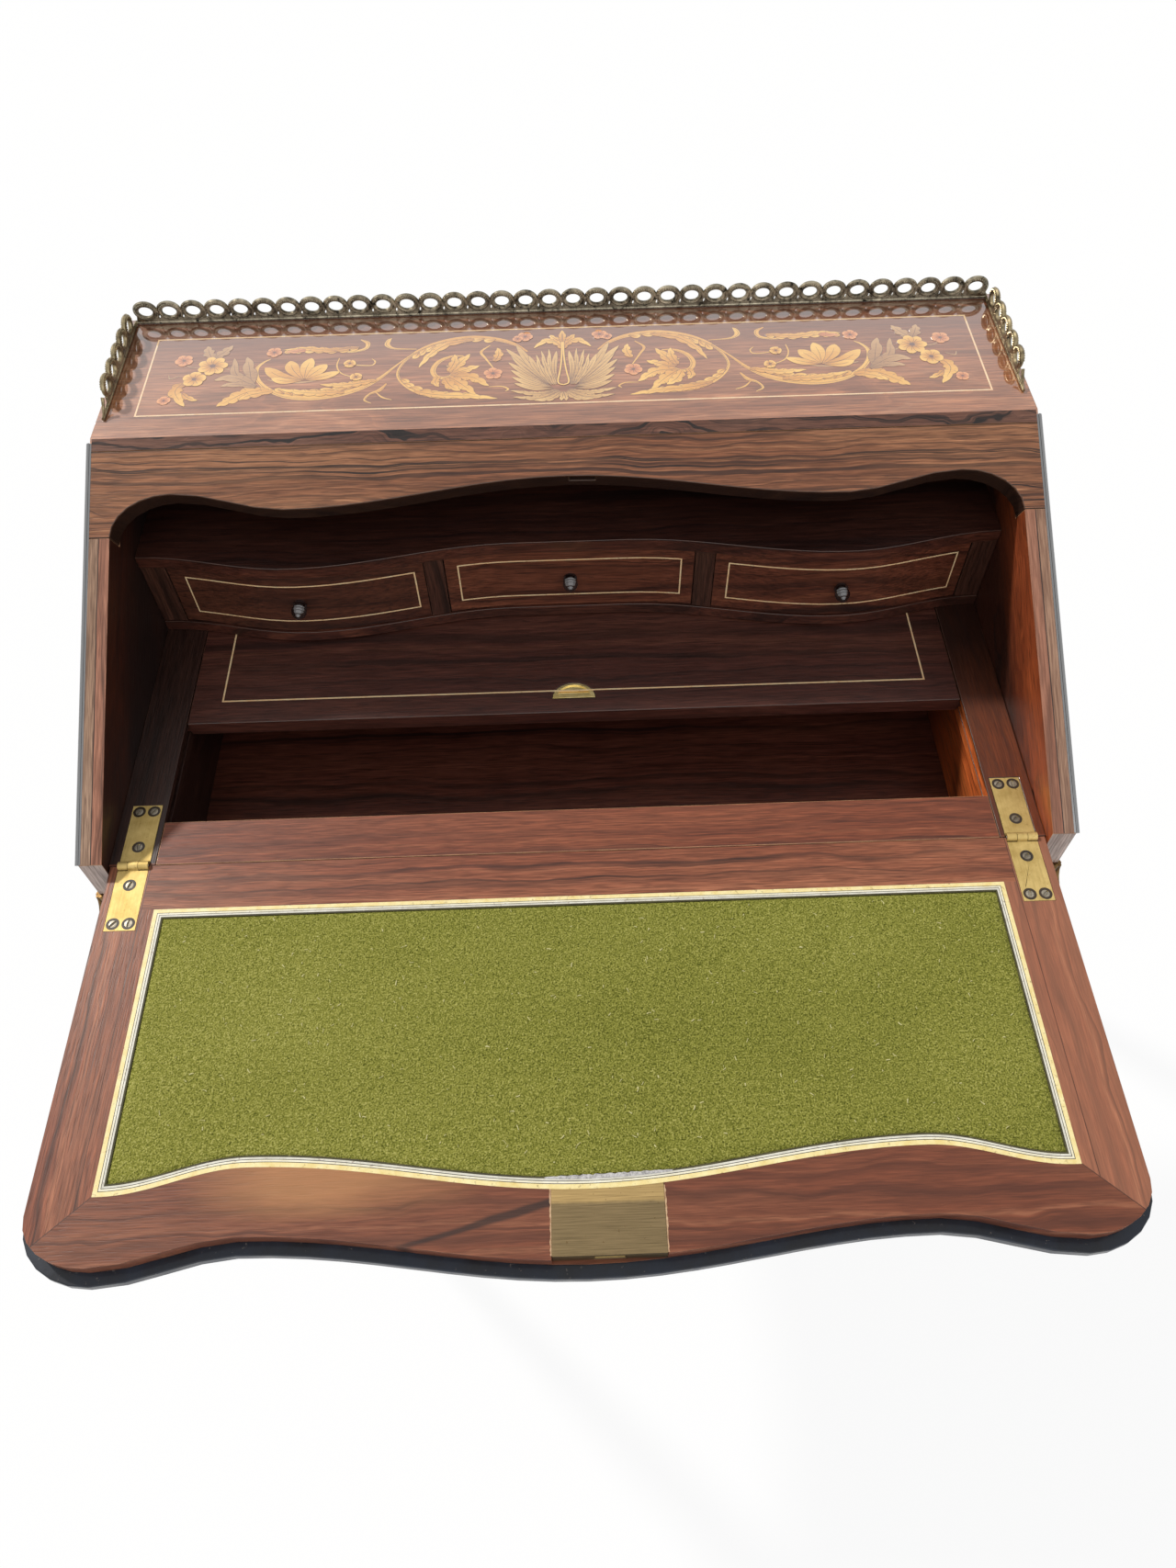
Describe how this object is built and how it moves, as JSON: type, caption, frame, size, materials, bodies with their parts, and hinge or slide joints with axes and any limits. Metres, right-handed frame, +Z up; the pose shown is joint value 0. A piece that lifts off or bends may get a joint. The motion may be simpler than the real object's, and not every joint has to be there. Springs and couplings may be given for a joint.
{
  "type": "fall-front writing desk",
  "caption": "Slant-front writing desk on cabriole legs with a serpentine hinged fall, velvet writing surface, sliding well lid, small drawers and a pierced gallery.",
  "frame": {"origin": "centre of the footprint with the fall open, on the floor", "axes": "+Z up, the front with the open fall towards -Y, +X to the right seen from the front"},
  "size_m": [0.7466, 0.7304, 0.8933],
  "materials": {
    "rosewood": "polished rosewood veneer",
    "dark_rosewood": "dark polished rosewood",
    "ebonised_wood": "ebonised, polished black",
    "drawer_oak": "waxed oak drawer lining",
    "brass": "polished brass",
    "old_brass": "darkened old brass",
    "bronze": "dark patinated bronze",
    "steel": "dull steel",
    "green_velvet": "olive-green velvet pile"
  },
  "bodies": {
    "case": {"left_side": "rosewood", "right_side": "rosewood", "top_board": "rosewood", "slant_rail": "rosewood", "front_apron": "rosewood", "front_board": "rosewood", "front_left_leg": "rosewood", "front_right_leg": "rosewood", "back_left_leg": "rosewood", "back_right_leg": "rosewood", "back_panel": "dark_rosewood", "well_floor": "dark_rosewood", "left_well_side": "dark_rosewood", "right_well_side": "dark_rosewood", "drawer_deck": "dark_rosewood", "drawer_shelf": "dark_rosewood", "left_cheek": "dark_rosewood", "right_cheek": "dark_rosewood", "left_divider": "ebonised_wood", "right_divider": "ebonised_wood", "left_edge_bead": "ebonised_wood", "right_edge_bead": "ebonised_wood", "gallery_back": "old_brass", "gallery_left": "old_brass", "gallery_right": "old_brass", "front_left_mount": "bronze", "front_right_mount": "bronze", "front_left_sabot": "bronze", "front_right_sabot": "bronze", "back_left_sabot": "bronze", "back_right_sabot": "bronze", "left_hinge_case_leaf": "brass", "right_hinge_case_leaf": "brass", "left_hinge_pin": "steel", "right_hinge_pin": "steel"},
    "fall": {"fall_board": "rosewood", "fall_edge_moulding": "ebonised_wood", "writing_velvet": "green_velvet", "left_hinge_fall_leaf": "brass", "right_hinge_fall_leaf": "brass", "lock_plate": "brass", "lock_case": "steel", "key_escutcheon": "brass"},
    "lock_bolt": {"lock_bolt": "brass"},
    "well_lid": {"well_lid": "dark_rosewood", "well_lid_pull": "brass"},
    "left_drawer": {"left_drawer_front": "dark_rosewood", "left_drawer_carcase": "drawer_oak", "left_drawer_bottom": "drawer_oak", "left_drawer_knob": "ebonised_wood"},
    "centre_drawer": {"centre_drawer_front": "dark_rosewood", "centre_drawer_carcase": "drawer_oak", "centre_drawer_bottom": "drawer_oak", "centre_drawer_knob": "ebonised_wood"},
    "right_drawer": {"right_drawer_front": "dark_rosewood", "right_drawer_carcase": "drawer_oak", "right_drawer_bottom": "drawer_oak", "right_drawer_knob": "ebonised_wood"}
  },
  "joints": [
    {"name": "fall_hinge", "type": "hinge", "parent": "case", "child": "fall", "pos_m": [0, -0.07875, 0.715], "axis": [-1, 0, 0], "range_deg": [0, 152.7]},
    {"name": "lock_bolt_slide", "type": "slide", "parent": "fall", "child": "lock_bolt", "axis": [0, -1, 0], "range_m": [0, 0.008]},
    {"name": "well_lid_slide", "type": "slide", "parent": "case", "child": "well_lid", "axis": [0, -1, 0], "range_m": [-0.074, 0.0925]},
    {"name": "left_drawer_slide", "type": "slide", "parent": "case", "child": "left_drawer", "axis": [0, -1, 0], "range_m": [0, 0.068]},
    {"name": "centre_drawer_slide", "type": "slide", "parent": "case", "child": "centre_drawer", "axis": [0, -1, 0], "range_m": [0, 0.068]},
    {"name": "right_drawer_slide", "type": "slide", "parent": "case", "child": "right_drawer", "axis": [0, -1, 0], "range_m": [0, 0.068]}
  ]
}
